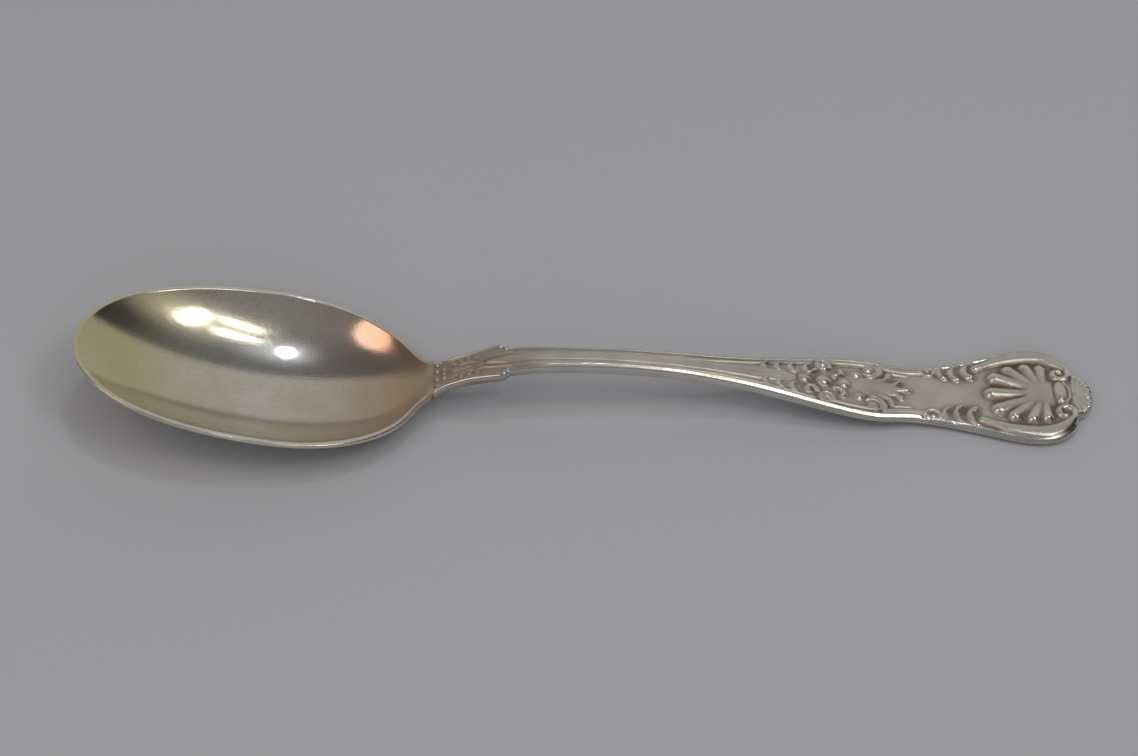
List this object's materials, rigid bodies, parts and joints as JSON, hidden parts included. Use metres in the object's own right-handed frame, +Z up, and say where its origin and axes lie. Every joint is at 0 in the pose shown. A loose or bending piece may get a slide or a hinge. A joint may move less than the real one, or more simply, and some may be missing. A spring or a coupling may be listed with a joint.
{
  "type": "teaspoon",
  "caption": "Metal teaspoon with an egg-shaped bowl and an arched handle struck with shell, scroll and leaf relief, for stirring and for spooning small amounts.",
  "frame": {"origin": "on the table under the middle of the spoon's length and width", "axes": "+X from the tip of the bowl to the end of the handle, +Y across, +Z up from the table, bowl open upwards"},
  "size_m": [0.1479, 0.0324, 0.0133],
  "materials": {
    "bowl_silver": "polished silver plate, slightly yellowed",
    "handle_silver": "struck silver plate, tarnished brown in the recesses"
  },
  "bodies": {
    "root": {"bowl": "bowl_silver", "handle": "handle_silver", "edge_thread": "handle_silver", "stem_rib": "handle_silver", "neck_leaf": "handle_silver", "husk_rows": "handle_silver", "middle_blossom": "handle_silver", "middle_scrolls": "handle_silver", "palmette": "handle_silver", "waist_scrolls": "handle_silver", "waist_husks": "handle_silver", "end_shell": "handle_silver", "end_scrolls": "handle_silver", "end_boss": "handle_silver", "end_crest": "handle_silver", "heel_drop": "handle_silver"}
  },
  "joints": []
}
